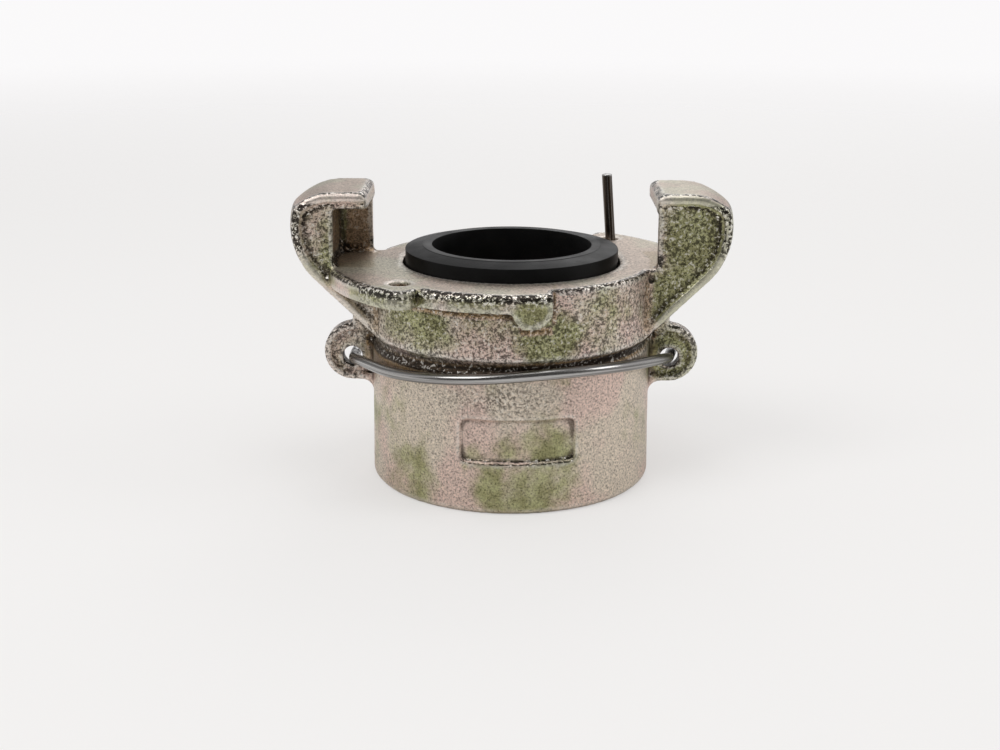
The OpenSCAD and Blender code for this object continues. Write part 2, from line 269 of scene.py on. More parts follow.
def finish_modifier(piece, kind, **settings):
    """Adds a modifier, sets it and applies it."""
    pick(piece)
    bpy.ops.object.modifier_add(type=kind)
    modifier = piece.modifiers[-1]
    for key, value in settings.items():
        setattr(modifier, key, value)
    bpy.ops.object.modifier_apply(modifier=modifier.name)


def settle(piece):
    """Puts the piece's place into its mesh, so that its object sits at the origin."""
    pick(piece)
    bpy.ops.object.transform_apply(location=True, rotation=True, scale=True)


def paint_weights(piece, group_name, weight_at):
    """Fills a vertex group from a function of each vertex's place in millimetres."""
    group = piece.vertex_groups.new(name=group_name)
    for vertex in piece.data.vertices:
        group.add([vertex.index], weight_at(vertex.co / MM), "REPLACE")


def triangles(piece):
    """How many triangles the piece has."""
    piece.data.calc_loop_triangles()
    return len(piece.data.loop_triangles)


print("modelling helpers ready")

# %% [markdown]
# ## The casting
#
# The real body is poured in sand. Every edge that the mould leaves is round, the skin is
# grainy, and only the bore, the seal's seat and the pin holes are cut clean. The CAD solid has
# crisp edges. A copy of it is remeshed into small even quads, which a few smoothing passes can
# round like a casting and a displacement can roughen like sand. Vertex weights keep both away
# from the machined parts.

# %% Sizes of the casting that the skin needs
WATER_R = 18.75
THREAD_R = 22.42
THREAD_LEN = 21
SEAT_R = 25.6
SEAL_FOOT_R = 26.7
FLANGE_Z = 51.5
UNDER_Z = 47.4
NECK_R = 33.3
GROOVE_Z = 33.8
PIN_HOLE_AT = Vector((24.507, 26.097))
PIN_HOLE_R = 2.35
EAR_HOLE_AT = Vector((37.82, 28.2))
EAR_HOLE_R = 2.3
CLAW_Y = 11.7
RECESS_Y = 10.5
POCKET_R = 42.0
POCKET_TOP_Z = 64.9
CLAW_TOP_Z = 68.9
VOXEL = 0.42 * MM


def ramp(value, low, high):
    """0 below low, 1 above high, and straight between them."""
    return min(max((value - low) / (high - low), 0), 1)


def near(value, wanted, reach):
    """1 where the value is the wanted one, falling to 0 at that reach from it."""
    return max(0, 1 - abs(value - wanted) / reach)


def cast_weight(p):
    """1 on the cast skin, 0 on the bore, the seat and the drilled holes."""
    radius = math.hypot(p.x, p.y)
    skin = ramp(radius, SEAL_FOOT_R + 0.2, SEAL_FOOT_R + 2.0)
    for side in (1, -1):
        from_pin_hole = (Vector((p.x, p.y)) * side - PIN_HOLE_AT).length
        skin = min(skin, 0.15 + ramp(from_pin_hole, PIN_HOLE_R + 0.3, PIN_HOLE_R + 1.2))
        from_ear_hole = math.hypot(p.x * side - EAR_HOLE_AT.x, p.z - EAR_HOLE_AT.y)
        if abs(p.y) < 4:
            skin = min(skin, 0.3 + ramp(from_ear_hole, EAR_HOLE_R + 0.1, EAR_HOLE_R + 1))
    return skin


def in_recess(p):
    """True on the sunk floors of the claws' and arms' side faces."""
    return abs(abs(p.y) - RECESS_Y) < 0.45 and abs(p.x) > NECK_R and p.z > 38


def grain_weight(p):
    """How deep the sand grain is: deepest in the claws' recesses, faint on the flange's top."""
    skin = cast_weight(p)
    if abs(p.z - FLANGE_Z) < 0.4:
        return 0.25 * skin
    return (1.0 if in_recess(p) else 0.4) * skin


def on_soft_edge(p):
    """True on the steps round the recesses and on the open edges of the pockets."""
    high = p.z > 36 and abs(p.x) > 31
    step = RECESS_Y + 0.15 < abs(p.y) < CLAW_Y - 0.15
    radius = math.hypot(p.x, p.y)
    at_wall = abs(radius - POCKET_R) < 0.5 and FLANGE_Z < p.z < POCKET_TOP_Z
    at_roof = abs(p.z - POCKET_TOP_Z) < 0.5 and radius < POCKET_R
    mouth = p.x * p.y > 0 and abs(p.y) > RECESS_Y - 0.7 and (at_wall or at_roof)
    return high and (step or mouth)


print("weights ready, voxel", VOXEL / MM, "mm")

# %% Remesh and round the casting
ROUNDING_PASSES = 4
SOFT_EDGE_RINGS = 2
SOFT_EDGE_PASSES = 9

source = frame["nodes"]["coupling_body"]
casting = bpy.data.objects.new("casting", source.data.copy())
bpy.context.scene.collection.objects.link(casting)
casting.data.materials.clear()
pick(casting)
bpy.ops.object.mode_set(mode="EDIT")
bpy.ops.mesh.select_all(action="SELECT")
bpy.ops.mesh.remove_doubles(threshold=0.001 * MM)
bpy.ops.object.mode_set(mode="OBJECT")
finish_modifier(casting, "REMESH", mode="VOXEL", voxel_size=VOXEL)
paint_weights(casting, "cast_skin", cast_weight)
paint_weights(casting, "grain", grain_weight)
finish_modifier(casting, "SMOOTH", factor=0.5, iterations=ROUNDING_PASSES, vertex_group="cast_skin")
print("casting remeshed:", len(casting.data.vertices), "points")

# %% [markdown]
# The steps round the recesses and the mouths of the pockets are rounder than the other edges,
# because sand doesn't hold a thin step. Their points are picked by place, the selection grows by
# a few rings, and only there the mesh is smoothed further.

# %% Round the steps and roughen the skin
SWELL_DEPTH = 0.14 * MM
GRAIN_DEPTH = 0.20 * MM
CASTING_TRIANGLES = 178000


def clouds(name, size):
    """A soft noise for a Displace modifier, with patches of about that size."""
    texture = bpy.data.textures.new(name, "CLOUDS")
    texture.noise_scale = size
    texture.noise_depth = 2
    return texture


pick(casting)
bpy.ops.object.mode_set(mode="EDIT")
bpy.ops.mesh.select_mode(type="VERT")
bpy.ops.mesh.select_all(action="DESELECT")
bpy.ops.object.mode_set(mode="OBJECT")
soft = [on_soft_edge(vertex.co / MM) for vertex in casting.data.vertices]
casting.data.vertices.foreach_set("select", soft)
bpy.ops.object.mode_set(mode="EDIT")
for _ in range(SOFT_EDGE_RINGS):
    bpy.ops.mesh.select_more()
bpy.ops.mesh.vertices_smooth(factor=0.5, repeat=SOFT_EDGE_PASSES)
bpy.ops.object.mode_set(mode="OBJECT")
finish_modifier(casting, "DISPLACE", texture=clouds("mould_swell", 7 * MM), strength=SWELL_DEPTH,
                mid_level=0.5, vertex_group="cast_skin")
finish_modifier(casting, "DISPLACE", texture=clouds("sand_grain", 0.9 * MM), strength=GRAIN_DEPTH,
                mid_level=0.5, vertex_group="grain")
finish_modifier(casting, "DECIMATE", ratio=min(1, CASTING_TRIANGLES / triangles(casting)))
print("casting:", sum(soft), "points on soft steps,", triangles(casting), "triangles")

# %% [markdown]
# ## The thread
#
# The skirt is taken to hold a female pipe thread, G 1 1/2: 11 turns per inch, with rounded
# crests and roots. A tap cuts such a thread, and a tap cuts it here: a closed cylinder whose
# side is pushed out along a helix is taken away from the casting with a Boolean modifier. The
# cut adds about 47,000 triangles to those that the casting has by then.

# %% Make the tap and cut the thread
PITCH = 25.4 / 11
THREAD_DEPTH = 1.479
TAP_SIDES = 144
ROWS_PER_TURN = 10
TAP_CLEAR = 0.12
RUN_OUT = 1.2


def tap_radius(angle, height):
    """Radius of the tap's side: the thread's rounded wave, which fades out at the far end."""
    wave = 0.5 - 0.5 * math.cos(2 * math.pi * (height / PITCH - angle / (2 * math.pi)))
    sharp = wave * wave * (3 - 2 * wave)
    fade = ramp(THREAD_LEN + 1 - height, 0, RUN_OUT)
    return THREAD_R - TAP_CLEAR + (THREAD_DEPTH + TAP_CLEAR) * sharp * fade


def make_tap():
    """A tube of many rings with closed ends, whose side follows the thread."""
    start = -2.0
    step = PITCH / ROWS_PER_TURN
    rows = round((THREAD_LEN + 1 - start) / step)
    bpy.ops.object.select_all(action="DESELECT")
    bpy.ops.mesh.primitive_circle_add(vertices=TAP_SIDES, radius=THREAD_R * MM, fill_type="NGON",
                                      location=(0, 0, start * MM))
    tap = bpy.context.object
    tap.name = "tap"
    settle(tap)
    bpy.ops.object.mode_set(mode="EDIT")
    bpy.ops.mesh.select_all(action="SELECT")
    for _ in range(rows):
        bpy.ops.mesh.extrude_region_move(TRANSFORM_OT_translate={"value": (0, 0, step * MM)})
    bpy.ops.mesh.select_all(action="SELECT")
    bpy.ops.mesh.normals_make_consistent(inside=False)
    bpy.ops.object.mode_set(mode="OBJECT")
    for vertex in tap.data.vertices:
        angle = math.atan2(vertex.co.y, vertex.co.x)
        radius = tap_radius(angle, vertex.co.z / MM) * MM
        vertex.co.x = radius * math.cos(angle)
        vertex.co.y = radius * math.sin(angle)
    return tap


tap = make_tap()
finish_modifier(casting, "BOOLEAN", operation="DIFFERENCE", object=tap, solver="MANIFOLD")
bpy.data.objects.remove(tap)
pick(casting)
bpy.ops.object.shade_smooth_by_angle(angle=math.radians(40))
print("casting with its thread:", triangles(casting), "triangles")

# %% [markdown]
# ## The rubber seal
#
# The seal is a moulded ring. Its foot grips an undercut in the flange, its inner rim stands
# highest, and the face slopes down from there to the outer edge. It is lathed: a circle is
# extruded from point to point of the section, and each new ring is scaled to its radius. A
# bevel then rounds the moulded edges.

# %% Lathe the seal
SEAL_R = 25
SEAT_Z = 46.7
SEAL_TOP_Z = 55.4
SEAL_FOOT_H = 2.3
SEAL_BAND_W = 2.2
SEAL_STEP = 0.12
SEAL_SLOPE = 0.95
SEAL_SECTION = [
    (WATER_R, SEAT_Z), (SEAL_FOOT_R - 0.3, SEAT_Z), (SEAL_FOOT_R - 0.3, SEAT_Z + SEAL_FOOT_H),
    (SEAL_R, SEAT_Z + SEAL_FOOT_H + 0.3), (SEAL_R, SEAL_TOP_Z - SEAL_SLOPE),
    (WATER_R + SEAL_BAND_W + SEAL_STEP, SEAL_TOP_Z - SEAL_STEP), (WATER_R + SEAL_BAND_W, SEAL_TOP_Z),
    (WATER_R, SEAL_TOP_Z - 0.1),
]
LATHE_SIDES = 256


def lathe(name, section, sides):
    """Turns a closed section, a list of (radius, height) in millimetres, into a ring."""
    radius, height = section[0]
    bpy.ops.object.select_all(action="DESELECT")
    bpy.ops.mesh.primitive_circle_add(vertices=sides, radius=radius * MM,
                                      location=(0, 0, height * MM))
    piece = bpy.context.object
    piece.name = name
    settle(piece)
    bpy.ops.object.mode_set(mode="EDIT")
    bpy.ops.mesh.select_all(action="SELECT")
    for next_radius, next_height in section[1:] + section[:1]:
        bpy.ops.mesh.extrude_region_move(
            TRANSFORM_OT_translate={"value": (0, 0, (next_height - height) * MM)})
        share = next_radius / radius
        bpy.ops.transform.resize(value=(share, share, 1), center_override=(0, 0, 0))
        radius, height = next_radius, next_height
    bpy.ops.mesh.select_all(action="SELECT")
    bpy.ops.mesh.remove_doubles(threshold=0.001 * MM)
    bpy.ops.mesh.normals_make_consistent(inside=False)
    bpy.ops.object.mode_set(mode="OBJECT")
    return piece


seal = lathe("seal", SEAL_SECTION, LATHE_SIDES)
finish_modifier(seal, "BEVEL", width=0.28 * MM, segments=3, limit_method="ANGLE",
                angle_limit=math.radians(8))
pick(seal)
bpy.ops.object.shade_smooth_by_angle(angle=math.radians(35))
print("seal:", triangles(seal), "triangles")

# %% [markdown]
# ## The safety spring
#
# One length of 2.5 mm spring wire makes the pin and the bow that holds it down. It starts
# behind the right ear, runs round the front under the neck, goes through the left ear and round
# the back, and turns up through its hole in the flange. It is bent here as in the workshop: a
# disc is extruded along each straight length and spun round each bend. When the bow is pulled,
# only the back of it moves, so the wire is made in two lengths that meet inside the left ear.

# %% Corners of the wire
WIRE_R = 1.25
EAR_Z = 28.2
HOLE_WIRE_X = 37.37
STUB_LEAN = 1.9
EAR_BEND_Y = 4
BOW_R = 34.52
FRONT_REACH = 20.19
BACK_Y = 37.22
ELBOW_Z = 26.5
PIN_X = 24.907
PIN_Y = 25.897
PIN_LEAN = 0.076
PIN_STAND = 16.4
FRONT_CORNERS = [
    ((HOLE_WIRE_X + STUB_LEAN, 5, EAR_Z + 0.5), 0),
    ((HOLE_WIRE_X, -EAR_BEND_Y, EAR_Z + 0.5), 5),
    ((FRONT_REACH, -BOW_R, EAR_Z + 6.1), BOW_R - 0.3),
    ((-FRONT_REACH, -BOW_R, EAR_Z + 2.7), BOW_R - 0.3),
    ((-HOLE_WIRE_X, -EAR_BEND_Y, EAR_Z), 5),
    ((-HOLE_WIRE_X, 0, EAR_Z - 0.07), 0),
]
BACK_CORNERS = [
    ((-HOLE_WIRE_X, 0, EAR_Z - 0.07), 0),
    ((-HOLE_WIRE_X, BACK_Y, EAR_Z - 0.7), BACK_Y - 1.2),
    ((PIN_X - 9.1, BACK_Y, EAR_Z - 1.4), 24),
    ((PIN_X + PIN_LEAN * (FLANGE_Z - ELBOW_Z), PIN_Y, ELBOW_Z), 4),
    ((PIN_X - PIN_LEAN * PIN_STAND, PIN_Y, FLANGE_Z + PIN_STAND), 0),
]
print("wire corners:", len(FRONT_CORNERS), "in front,", len(BACK_CORNERS), "behind")

# %% Bend the wire
WIRE_SIDES = 24
BEND_STEP = 1.6
END_CHAMFER = 0.25


def bend_wire(name, corners):
    """Extrudes a disc along the straight lengths and spins it round the bends."""
    points = [Vector(place) for place, _ in corners]
    ways = [(b - a).normalized() for a, b in zip(points, points[1:])]
    first = ways[0]
    turn = first.to_track_quat("Z", "Y")
    bpy.ops.object.select_all(action="DESELECT")
    bpy.ops.mesh.primitive_circle_add(vertices=WIRE_SIDES, radius=WIRE_R * MM, fill_type="NGON",
                                      location=points[0] * MM, rotation=turn.to_euler())
    piece = bpy.context.object
    piece.name = name
    lap = piece.data.attributes.new(name="lap", type="FLOAT_VECTOR", domain="POINT")
    for vertex in piece.data.vertices:
        lap.data[vertex.index].vector = vertex.co / (WIRE_R * MM)
    settle(piece)
    bpy.ops.object.mode_set(mode="EDIT")
    bpy.ops.mesh.select_all(action="SELECT")
    here = points[0]
    for i in range(1, len(points)):
        way = ways[i - 1]
        last = i == len(points) - 1
        angle = 0 if last else way.angle(ways[i])
        cut = 0 if last else corners[i][1] * math.tan(angle / 2)
        straight = (points[i] - way * cut - here).dot(way)
        bpy.ops.mesh.extrude_region_move(TRANSFORM_OT_translate={"value": way * straight * MM})
        here = here + way * straight
        if not last:
            radius = corners[i][1]
            axis = way.cross(ways[i]).normalized()
            centre = here + axis.cross(way) * radius
            steps = max(3, round(radius * angle / BEND_STEP))
            bpy.ops.mesh.spin(steps=steps, dupli=False, angle=-angle, center=centre * MM, axis=axis)
            here = points[i] + ways[i] * cut
    bpy.ops.mesh.select_all(action="SELECT")
    bpy.ops.mesh.remove_doubles(threshold=0.001 * MM)
    bpy.ops.mesh.normals_make_consistent(inside=False)
    bpy.ops.object.mode_set(mode="OBJECT")
    far_end = min((vertex.co / MM - points[-1]).length for vertex in piece.data.vertices)
    print(name, "ends", round(far_end, 2), "mm from its last corner, which is a wire's radius")
    return piece


front_bow = bend_wire("front_bow", FRONT_CORNERS)
back_bow = bend_wire("back_bow", BACK_CORNERS)
for piece in (front_bow, back_bow):
    finish_modifier(piece, "BEVEL", width=END_CHAMFER * MM, segments=3, limit_method="ANGLE",
                    angle_limit=math.radians(60))
    pick(piece)
    bpy.ops.object.shade_smooth_by_angle(angle=math.radians(40))
    print(piece.name, triangles(piece), "triangles")

# %% [markdown]
# ## Paint the film and the painted shade on the casting
#
# The zinc is passivated: the film is beige with a pink cast and turns olive green where it is
# thicker. It is brown in the corners, where brown film and painted shade are painted together, and
# under the lips the brown is a painted shadow. Where these lie follows the shape of the casting, so
# they are painted on as point attributes: soft spots of green, brown and painted shade in the
# groove, the pockets, the holes and under the lips, and how coarse the sand shows. Three more say
# how far the surface bends, how level it lies, where level faces get a greyer tint and painted
# shade, and where it glints, which places painted highlights and painted dark reflections.

# %% Where the film is green
GREEN_SPOTS = [
    ((3, -33, 5), 14, 0.75), ((-27, -18, 20), 11, 0.45), ((-23, -24, 5), 11, 0.6),
    ((-32, -8, 14), 9, 0.55), ((4, -33, 13), 9, 0.65),
    ((8, -32, 16), 8, 0.8), ((-8, -32, 13), 6, 0.45), ((30, -12, 14), 10, 0.35),
    ((9, -33, 40), 8, 1.0), ((20, -27, 43), 9, 0.5), ((12, -33, 31), 4, 0.6),
    ((-8, -33, 37), 8, 0.3), ((-24, -28, 48.5), 14, 0.95), ((-8, -36, 49), 11, 0.8),
    ((5, -37, 46), 7, 0.95), ((24, -30, 48), 12, 0.6),
    ((46, -10.5, 58), 13, 1.0), ((38, -10.5, 46), 10, 1.0), ((38, -2, 28), 9, 0.9),
    ((-45, -10.5, 57), 14, 0.55), ((-39, -2, 28), 8, 0.4), ((-41, -3, 68), 10, 0.3),
    ((-46, 10.5, 58), 13, 0.8), ((-38, 10.5, 46), 9, 0.6), ((45, 10.5, 57), 13, 0.5),
    ((10, 32, 8), 13, 0.6), ((-22, 25, 20), 9, 0.45), ((26, 20, 26), 8, 0.4),
    ((-6, 33, 42), 9, 0.7), ((24, 28, 48.5), 12, 0.5), ((-3, 37, 49), 11, 0.6),
    ((51, 3, 60), 8, 0.3), ((-51, -2, 52), 8, 0.3), ((41, 3, 68), 9, 0.25),
]


def green_at(p, normal):
    """How green the film is: the strongest of the spots there, and none on level faces."""
    green = 0
    for place, reach, amount in GREEN_SPOTS:
        away = math.dist(place, p) / reach
        if away < 1.4:
            green = max(green, amount * (1 - ramp(away, 0.45, 1.4)))
    return green * (0.2 + 0.8 * ramp(0.9 - normal.z, 0, 0.4))


print("green spots:", len(GREEN_SPOTS))

# %% Where the film is brown, and where shade is painted
BAND_DROP = 0.55
BAND_HALF = 1.75
BAND_TILT = 0.034
POCKET_END_XY = -330
ARM_ROOT_X = 31.5
ARM_ROOT_Y = 13.2
TONGUE_X0 = 2.0
TONGUE_X1 = 8.9
TONGUE_DROP = 3.6
SHADOW_Z = 46.1
SHADOW_REACH = 1.25


def from_pin_holes(p):
    """The distance from the axis of the nearer pin hole."""
    return min((Vector((p.x, p.y)) * side - PIN_HOLE_AT).length for side in (1, -1))


def groove_shade(p, radius):
    """Painted shade, brown, in a band of the groove, which follows the front of the wire and climbs with
    it.
    """
    from_band = abs(p.z - (GROOVE_Z - BAND_DROP + BAND_TILT * p.x))
    return 1.2 * ramp(BAND_HALF - from_band, 0, 0.9) * ramp(NECK_R + 1.5 - radius, 0, 0.5)


def pocket_shade(p, radius):
    """Painted shade, brown, on the walls of the claws' pockets, and less at their foot."""
    inside = p.x * p.y > POCKET_END_XY and abs(p.y) < CLAW_Y - 1.5 and abs(p.x) > ARM_ROOT_X
    if not inside or not NECK_R - 1 < radius < POCKET_R + 0.8:
        return 0
    walls = 0.68 if FLANGE_Z + 0.3 < p.z < POCKET_TOP_Z + 0.6 else 0
    return max(walls, 0.5 * near(p.z, FLANGE_Z, 0.8))


def arm_root_shade(p):
    """Painted shade, brown, in the corners where the arms leave the neck."""
    corner = near(abs(p.x), ARM_ROOT_X, 2.5) * near(abs(p.y), ARM_ROOT_Y, 3) * ramp(p.z, 34, 38)
    return 0.9 * corner * ramp(FLANGE_Z - p.z, 1, 3)


def lip_shadow(p, radius):
    """Painted shadow, brown, on the neck right under the lips and round their tongues."""
    front_x = p.x if p.y < 0 else -p.x
    by_tongue = ramp(front_x, TONGUE_X0 - 0.6, TONGUE_X0 + 0.2)
    foot_z = SHADOW_Z - TONGUE_DROP * by_tongue
    below = 1.2 * near(p.z, foot_z, SHADOW_REACH) * ramp(TONGUE_X1 + 0.3 - front_x, 0, 0.5)
    beside = near(front_x, TONGUE_X1 + 0.4, 0.8) * ramp(p.z, UNDER_Z - 4.2, UNDER_Z - 3.2)
    return max(below, 0.8 * beside) * ramp(NECK_R + 1.2 - radius, 0, 0.6) * ramp(p.z, 40, 41)


def hole_shade(p):
    """Painted shade, brown, inside the pin holes and the ears' holes."""
    pin_hole = near(from_pin_holes(p), PIN_HOLE_R, 0.5) * ramp(FLANGE_Z - p.z, 0.4, 1.0)
    pin_hole *= ramp(p.z, UNDER_Z - 1, UNDER_Z)
    from_ear_hole = math.hypot(abs(p.x) - EAR_HOLE_AT.x, p.z - EAR_HOLE_AT.y)
    return max(pin_hole, 1.3 * near(from_ear_hole, EAR_HOLE_R, 0.5) * ramp(2.4 - abs(p.y), 0, 0.8))


def shade_and_brown_at(p):
    """How brown the film is and how much shade is painted: the strongest of the places above."""
    radius = math.hypot(p.x, p.y)
    # Painted shade, brown, at the roots of the ears, where they meet the neck.
    ear_root_shade = 0.5 * near(radius, NECK_R, 2) * near(p.y, 0, 4) * ramp(36 - p.z, 0, 2)
    return max(groove_shade(p, radius), pocket_shade(p, radius), arm_root_shade(p),
               lip_shadow(p, radius), hole_shade(p), ear_root_shade)


print("brown at the neck's foot:", shade_and_brown_at(Vector((0, -NECK_R, GROOVE_Z))))

# %% Where the sand shows and the metal glints
LIP_GLINT_Z = 50.1
SKIRT_SAND = 0.33
FLANGE_SAND = 0.30
NECK_SAND = 0.9
SMOOTH_SAND = 0.08


def coarse_at(p, normal):
    """How strongly the sand's grain shows on each face of the casting."""
    radius = math.hypot(p.x, p.y)
    if in_recess(p) and abs(normal.y) > 0.6:
        return 1.0
    if abs(p.z - FLANGE_Z) < 0.4 and normal.z > 0.7:
        return FLANGE_SAND + 0.35 * near(radius, SEAT_R + 1, 6)
    if p.z > CLAW_TOP_Z - 3 or (abs(p.y) > CLAW_Y - 0.5 and abs(p.x) > NECK_R):
        return SMOOTH_SAND
    if p.z < GROOVE_Z - 2 and radius < 35:
        patch = near(p.z, 27, 8) * near(p.x, -2, 24) if p.y < 0 else 0
        return SKIRT_SAND + 0.5 * patch
    if radius < NECK_R + 1.2 or p.z <= 40:
        return NECK_SAND
    return 0.65


def glint_at(p, normal, bend):
    """How much the surface glints, where the material paints highlights and dark reflections: on bent
    skin that looks up, and on the steps and fillets.
    """
    bent = ramp(abs(bend), 0.05, 0.22)
    radius = math.hypot(p.x, p.y)
    on_claw = abs(p.x) > NECK_R and p.z > FLANGE_Z + 0.5
    on_hook_side = abs(normal.y) > 0.5 and p.z > CLAW_TOP_Z - 2.5
    on_lip = radius > NECK_R + 2.2 and abs(p.x) < NECK_R and p.z < FLANGE_Z - 0.2
    if radius < SEAL_FOOT_R + 1 or from_pin_holes(p) < PIN_HOLE_R + 0.9 or on_hook_side:
        return 0.1 * bent
    if on_lip and normal.z < 0.75:
        return max(bent * ramp(normal.z, 0.1, 0.4), near(p.z, LIP_GLINT_Z, 1.5))
    if RECESS_Y + 0.1 < abs(p.y) < CLAW_Y - 0.1 and on_claw:
        return bent * ramp(p.z, FLANGE_Z - 2, FLANGE_Z + 6)
    if on_claw and radius < POCKET_R + 0.5 and p.z < FLANGE_Z + 3:
        return 0.9 * bent
    return bent * (0.1 + 0.9 * ramp(normal.z, 0.12, 0.5))


print("lip glints at", LIP_GLINT_Z, "mm")

# %% Paint the attributes
BEND_PASSES = 3
PANEL_TOP_Z = 24
PANEL_SHARE = 0.6


def bends_of(mesh):
    """Bend of the surface at each point, per millimetre: above 0 on edges, below 0 in hollows."""
    bends = [0.0] * len(mesh.vertices)
    counts = [0] * len(mesh.vertices)
    pairs = [tuple(edge.vertices) for edge in mesh.edges]
    places = [vertex.co / MM for vertex in mesh.vertices]
    normals = [vertex.normal.copy() for vertex in mesh.vertices]
    for a, b in pairs:
        across = places[b] - places[a]
        bend = (normals[b] - normals[a]).dot(across) / max(across.length_squared, 0.01)
        for end in (a, b):
            bends[end] += bend
            counts[end] += 1
    bends = [bend / max(count, 1) for bend, count in zip(bends, counts)]
    for _ in range(BEND_PASSES):
        sums = list(bends)
        for a, b in pairs:
            sums[a] += bends[b]
            sums[b] += bends[a]
        bends = [total / (count + 1) for total, count in zip(sums, counts)]
    return bends


def paint_attribute(piece, name, values):
    """Keeps one number for each point of the mesh, for the material to read."""
    attribute = piece.data.attributes.new(name=name, type="FLOAT", domain="POINT")
    attribute.data.foreach_set("value", values)
    print(name, "from", round(min(values), 2), "to", round(max(values), 2))


places = [vertex.co / MM for vertex in casting.data.vertices]
normals = [vertex.normal.copy() for vertex in casting.data.vertices]
# The brown attribute holds brown film together with painted shade.
shade_and_brown_values = [shade_and_brown_at(p) for p in places]
greens = [green_at(p, normal) * (1 - min(brown, 1)) for p, normal, brown in zip(places, normals, shade_and_brown_values)]
paint_attribute(casting, "green_film", greens)
paint_attribute(casting, "brown_with_shade", shade_and_brown_values)
paint_attribute(casting, "coarse_sand", [coarse_at(p, normal) for p, normal in zip(places, normals)])
bends = bends_of(casting.data)
soft_bends = [bend * (PANEL_SHARE if p.z < PANEL_TOP_Z else 1) for bend, p in zip(bends, places)]
paint_attribute(casting, "bend", soft_bends)
# Level faces get a greyer tint and painted shade.
paint_attribute(casting, "level_tint_shade", [ramp(normal.z, 0.7, 0.95) for normal in normals])
# Where it glints, the material paints highlights and dark reflections and makes the metal smoother.
paint_attribute(casting, "glint",
                [glint_at(p, normal, bend) for p, normal, bend in zip(places, normals, bends)])

# %% [markdown]
# ## The plated skin
#
# Three shader groups share the work. One mixes the film's colours with the painted green. One
# makes the sand's grain: its height and its dark pits. One finds hollows with ambient
# occlusion, where the material paints shade. The material adds the painted brown and shade,
# paints level faces greyer and darker, and makes the metal smoother where the casting glints,
# where it also paints highlights and dark reflections.

# %% Group: colour of the passivated film
FILM_PINK = (0.70, 0.545, 0.475, 1)
FILM_BEIGE = (0.67, 0.585, 0.485, 1)
FILM_GREEN = (0.31, 0.30, 0.15, 1)
FILM_LIME = (0.44, 0.435, 0.235, 1)


def new_group(name, inputs, outputs):
    """An empty shader group with named sockets, and its two end nodes."""
    group = bpy.data.node_groups.new(name, "ShaderNodeTree")
    for label, kind, value in inputs:
        socket = group.interface.new_socket(name=label, in_out="INPUT", socket_type=kind)
        if value is not None:
            socket.default_value = value
    for label, kind in outputs:
        group.interface.new_socket(name=label, in_out="OUTPUT", socket_type=kind)
    return group, add_node(group, "NodeGroupInput"), add_node(group, "NodeGroupOutput")


def noise(tree, vector, scale, detail, **values):
    """A noise texture on a vector; its output is the noise factor."""
    made = add_node(tree, "ShaderNodeTexNoise", {"Scale": scale, "Detail": detail, **values})
    wire(tree, vector, made.inputs["Vector"])
    return made.outputs["Fac"]


def between(tree, value, low, high, to_low=0.0, to_high=1.0, kind="SMOOTHSTEP"):
    """Maps a range of a value on to another range, softly by default."""
    made = add_node(tree, "ShaderNodeMapRange", {"From Min": low, "From Max": high,
                                                 "To Min": to_low, "To Max": to_high},
                    interpolation_type=kind)
    wire(tree, value, made.inputs["Value"])
    return made.outputs[0]


def math_of(tree, operation, first, second):
    """A Math node on sockets or numbers."""
    made = add_node(tree, "ShaderNodeMath", operation=operation)
    for slot, value in enumerate((first, second)):
        if isinstance(value, (int, float)):
            made.inputs[slot].default_value = value
        else:
            wire(tree, value, made.inputs[slot])
    return made.outputs[0]


def mix_colour(tree, factor, a, b, blend="MIX"):
    """A Mix node for colours, on sockets, colours or numbers."""
    made = add_node(tree, "ShaderNodeMix", data_type="RGBA", blend_type=blend)
    for name, value in (("Factor", factor), ("A", a), ("B", b)):
        if isinstance(value, (int, float, tuple)):
            made.inputs[name].default_value = value
        else:
            wire(tree, value, made.inputs[name])
    return made.outputs["Result"]


film, film_in, film_out = new_group(
    "film_colour",
    [("Vector", "NodeSocketVector", None), ("Green", "NodeSocketFloat", 0.0)],
    [("Color", "NodeSocketColor")],
)
cloud = noise(film, film_in.outputs["Vector"], 130.0, 4.0, Roughness=0.6)
edge = between(film, cloud, 0.3, 0.7, -0.32, 0.32, "LINEAR")
amount = math_of(film, "ADD", film_in.outputs["Green"], edge)
mask = between(film, amount, 0.22, 0.85)
tone = between(film, noise(film, film_in.outputs["Vector"], 60.0, 3.0), 0.42, 0.58)
metal = mix_colour(film, tone, FILM_PINK, FILM_BEIGE)
lime = between(film, noise(film, film_in.outputs["Vector"], 240.0, 3.0), 0.40, 0.65)
olive = mix_colour(film, lime, FILM_GREEN, FILM_LIME)
stained = mix_colour(film, mask, metal, olive)
wire(film, stained, film_out.inputs["Color"])
print("group", film.name)

# %% Group: sand grain
grain, grain_in, grain_out = new_group(
    "sand_grain",
    [("Vector", "NodeSocketVector", None), ("Size", "NodeSocketFloat", 1500.0)],
    [("Height", "NodeSocketFloat"), ("Pits", "NodeSocketFloat")],
)
fine = add_node(grain, "ShaderNodeTexNoise", {"Detail": 2.5, "Roughness": 0.62, "Distortion": 0.35})
wire(grain, grain_in.outputs["Vector"], fine.inputs["Vector"])
wire(grain, grain_in.outputs["Size"], fine.inputs["Scale"])
wire(grain, fine.outputs["Fac"], grain_out.inputs["Height"])
wire(grain, between(grain, fine.outputs["Fac"], 0.47, 0.33), grain_out.inputs["Pits"])
print("group", grain.name)

# %% Group: painted shade in the hollows
hollow, hollow_in, hollow_out = new_group(
    "hollow_mask",
    [("Reach", "NodeSocketFloat", 0.004)],
    [("Mask", "NodeSocketFloat")],
)
